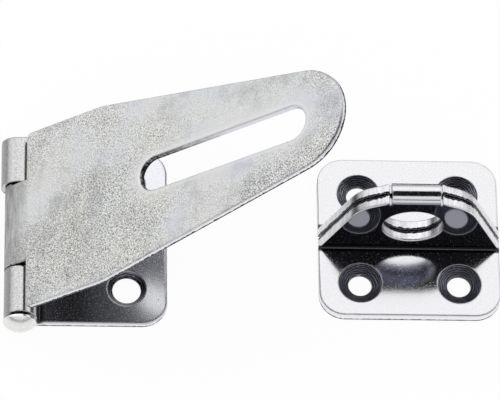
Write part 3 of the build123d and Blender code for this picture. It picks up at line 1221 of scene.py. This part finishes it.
def rivet_zinc():
    """Zinc-plated rivet steel: hammered heads, rubbed bright, and a shank painted dark as shade.
    """
    material, tree = new_material("riveted_zinc_plated_pin")
    place = place_in_mm(tree)
    dents = add(tree, "ShaderNodeTexNoise", None, {
        "Vector": place, "Scale": 1 / dent_mm, "Detail": 4, "Roughness": 0.65,
    })
    shade = add(tree, "ShaderNodeMapRange", None, {
        "Value": dents,
        "From Min": 0.3,
        "From Max": 0.7,
        "To Min": dent_shades[0],
        "To Max": dent_shades[1],
    })
    base = add(tree, "ShaderNodeMix", {"data_type": "RGBA", "blend_type": "MULTIPLY"}, {
        0: 1.0, 6: colour(head_metal), 7: shade,
    })
    parts = add(tree, "ShaderNodeSeparateXYZ", None, {0: place}).node.outputs
    before_cap = add(tree, "ShaderNodeMath", {"operation": "LESS_THAN"}, {
        0: parts["Y"], 1: cap_seat_mm,
    })
    behind_head = add(tree, "ShaderNodeMath", {"operation": "GREATER_THAN"}, {
        0: parts["Y"], 1: head_seat_mm,
    })
    shank = add(tree, "ShaderNodeMath", {"operation": "MULTIPLY"}, {0: before_cap, 1: behind_head})
    base = add(tree, "ShaderNodeMix", {"data_type": "RGBA"}, {
        0: shank, 6: base, 7: colour(shank_painted_shade),
    })
    relief = add(tree, "ShaderNodeBump", None, {
        "Strength": 1.0, "Distance": dent_depth_mm * MM, "Height": dents,
    })
    shader = add(tree, "ShaderNodeBsdfPrincipled", None, {
        "Base Color": base, "Metallic": 1.0, "Roughness": head_roughness, "Normal": relief,
    })
    add(tree, "ShaderNodeOutputMaterial", None, {"Surface": shader})
    return material


pin.data.materials[0] = rivet_zinc()
print("pin's shank runs from", round(head_seat_mm, 2), "to", round(cap_seat_mm, 2), "mm")

# %% [markdown]
# ## The floor
# The photograph has a plain white ground. White paper alone would render grey wherever the
# light falls off, and more light would burn out the metal. So the paper glows for the eyes
# that look at it, the camera and the mirrors in the metal, and stays ordinary paper for
# everything else. Light on its way gets no more from it, and it keeps the hasp's shadow.

# %% Floor
floor_half_side = 4.0
below_the_hasp = 0.02 * MM
paper_white = "#F4F4F4"
paper_glow = 0.94


def seen_directly(tree):
    """1 where the camera, a mirror or a pane of glass looks, and 0 for light on its way."""
    path = add(tree, "ShaderNodeLightPath").node
    either = add(tree, "ShaderNodeMath", {"operation": "MAXIMUM"}, {
        0: path.outputs["Is Camera Ray"], 1: path.outputs["Is Glossy Ray"],
    })
    return add(tree, "ShaderNodeMath", {"operation": "MAXIMUM"}, {
        0: either, 1: path.outputs["Is Transmission Ray"],
    })


def square_sheet(name, half_side):
    """A flat square that faces up, marked as part of the studio."""
    mesh = bpy.data.meshes.new(name)
    corners = [(-1, -1), (1, -1), (1, 1), (-1, 1)]
    mesh.from_pydata([(x * half_side, y * half_side, 0) for x, y in corners], [], [(0, 1, 2, 3)])
    sheet = bpy.data.objects.new(name, mesh)
    bpy.context.scene.collection.objects.link(sheet)
    sheet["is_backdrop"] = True
    return sheet


floor = square_sheet("floor", half_side=floor_half_side)
floor.location.z = -below_the_hasp
white_paper, tree = new_material("white_paper")
paper = add(tree, "ShaderNodeBsdfDiffuse", None, {"Color": colour(paper_white)})
glow = add(tree, "ShaderNodeEmission", None, {"Color": WHITE, "Strength": 1.0})
share = add(tree, "ShaderNodeMath", {"operation": "MULTIPLY"}, {
    0: seen_directly(tree), 1: paper_glow,
})
mixed = add(tree, "ShaderNodeMixShader", None, {0: share, 1: paper, 2: glow})
add(tree, "ShaderNodeOutputMaterial", None, {"Surface": mixed})
floor.data.materials.append(white_paper)
print("floor of", 2 * floor_half_side, "m of", white_paper.name)

# %% [markdown]
# ## The light
# Plated metal shows its surroundings more than its own colour, so lighting it means choosing
# what it mirrors. The walls of the studio are white above and fall off to grey near the
# floor, which shades the ears' upright faces. They could be built as a room, but a room needs
# lamps of its own. The world behind the scene is a room that gives its own light.

# %% Walls
walls_darken_from = 0.4
walls_darkest_at = 0.08
darkest_wall = 0.2

world = bpy.data.worlds.new("studio")
bpy.context.scene.world = world
world.use_nodes = True
world.node_tree.nodes.clear()
tree = world.node_tree
directions = add(tree, "ShaderNodeTexCoord").node
rise = add(tree, "ShaderNodeSeparateXYZ", None, {0: directions.outputs["Generated"]}).node
strength = add(tree, "ShaderNodeMapRange", None, {
    "Value": rise.outputs["Z"],
    "From Min": walls_darkest_at,
    "From Max": walls_darken_from,
    "To Min": darkest_wall,
    "To Max": 1.0,
})
walls = add(tree, "ShaderNodeBackground", None, {"Color": WHITE, "Strength": strength})
add(tree, "ShaderNodeOutputWorld", None, {"Surface": walls})
print("walls go from", darkest_wall, "near the floor to 1 above")

# %% [markdown]
# ## Softboxes
# Three large softboxes stand in front of the walls, behind the hasp and to its sides. Small
# lamps would leave hard, bright spots in the plate, and a softbox leaves a wide, soft gleam.
# An area lamp adds to the wall behind it, so all three are weak: the plate reaches white
# where it should and keeps its speckle elsewhere.

# %% Softboxes
lamp_distance = 1.2


def softbox(name, direction, size, radiance):
    """A square lamp that faces the hasp, as bright as radiance where it is seen."""
    lamp = bpy.data.lights.new(name, "AREA")
    lamp.shape = "SQUARE"
    lamp.size = size
    lamp.energy = radiance * math.pi * size * size
    holder = bpy.data.objects.new(name, lamp)
    towards = Vector(direction).normalized()
    holder.location = target + towards * lamp_distance
    holder.rotation_euler = towards.to_track_quat("Z", "Y").to_euler()
    bpy.context.scene.collection.objects.link(holder)
    print(name, "of", size, "m gives", round(lamp.energy, 2), "W")


softbox("back_softbox", direction=(-0.15, 0.47, 0.85), size=1.0, radiance=0.22)
softbox("left_softbox", direction=(-0.85, 0.38, 0.42), size=1.3, radiance=0.4)
softbox("right_softbox", direction=(0.86, 0.47, 0.25), size=0.8, radiance=0.35)

# %% [markdown]
# ## Black flags
# In the photograph the ears and parts of the leaf and the feet are almost black, though they
# are the same bright zinc. A mirror is black where it mirrors something black, and a flag of
# black cloth is hung up for that. Painting the dark onto the metal would be simpler, but then
# it would stay there from every side. Three flags do it here: one hangs over the staple, one
# stands low under the strap, and one lies behind the far foot. Only the metal sees them. They
# are hidden from the camera and throw no shadow.

# %% Black cloth
cloth_black = "#0D0E14"
black_cloth, tree = new_material("black_cloth")
cloth = add(tree, "ShaderNodeBsdfDiffuse", None, {"Color": colour(cloth_black)})
add(tree, "ShaderNodeOutputMaterial", None, {"Surface": cloth})


def flag(name, location, turned_to, width, depth):
    """A sheet of black cloth, in metres, that only mirrors see."""
    sheet = square_sheet(name, half_side=0.5)
    sheet.location = location
    sheet.rotation_euler = Vector(turned_to).to_track_quat("Z", "Y").to_euler()
    sheet.scale = (width, depth, 1)
    sheet.visible_camera = False
    sheet.visible_diffuse = False
    sheet.visible_shadow = False
    sheet.data.materials.append(black_cloth)
    print(name, "of", width, "by", round(depth, 4), "m")


print("flags are cut from", black_cloth.name)

# %% [markdown]
# ## How high the low flag may be
# The low flag stands where the strap swings down over it, and a strap that cuts through a flag
# shows a seam. The flag could be left out, but then the leaf would be far too light. So its
# top is worked out from the strap's underside at the hinge's closed limit, a little below it.

# %% Height of the low flag
low_flag_x_mm = 22
low_flag_y_mm = 18
low_flag_clearance_mm = 0.6
closed_angle = strap_angle + math.radians(swing["range_deg"][0])
closed_strap_mm = (
    pin_place_mm.z
    + (low_flag_x_mm - pin_place_mm.x) * math.tan(closed_angle)
    + sheet_bottom_mm / math.cos(closed_angle)
)
low_flag_top_mm = closed_strap_mm - low_flag_clearance_mm
low_flag_middle_mm = Vector((low_flag_x_mm, low_flag_y_mm, low_flag_top_mm / 2))
print("the closed strap is", round(closed_strap_mm, 1), "mm over the floor at the low flag,",
      "which is", round(low_flag_top_mm, 1), "mm high")

# %% [markdown]
# ## Hanging the flags
# The overhead flag hangs above the staple, a little towards the camera, and faces down at it:
# the near ear mirrors the near foot, and the foot mirrors the flag there. The low one faces
# the hinge, because the leaf mirrors the strap's underside, which mirrors that flag. The flat
# one lies face up. They could be placed by eye in the viewport, but here their places are
# written down, so that they are the same each time.

# %% Three black flags
overhead_height = 0.15
over_staple = Vector((0.05, -0.26, 0.97)).normalized()
staple_middle = Vector((59.9, 0, 10)) * MM
behind_far_foot = Vector((85, 70, 0.5)) * MM

flag(
    "black_flag_overhead", location=staple_middle + over_staple * overhead_height,
    turned_to=-over_staple, width=0.3, depth=0.14,
)
flag(
    "black_flag_low", location=low_flag_middle_mm * MM,
    turned_to=(-1, 0, 0), width=0.07, depth=low_flag_top_mm * MM,
)
flag(
    "black_flag_flat", location=behind_far_foot, turned_to=(0, 0, 1), width=0.11, depth=0.09,
)

# %% [markdown]
# ## Sizes and finish
# The Standard view shows each colour as it is written. The box of the dressed model is
# measured and kept beside that of the imported one: the finishes add no shape, so the two
# should be the same.

# %% Sizes and finish
bpy.context.scene.view_settings.view_transform = "Standard"
boxes = {"cad": cad_box, "visual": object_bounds()}
low, high = boxes["visual"]
print("dressed model", [round(value / MM, 1) for value in high - low], "mm")
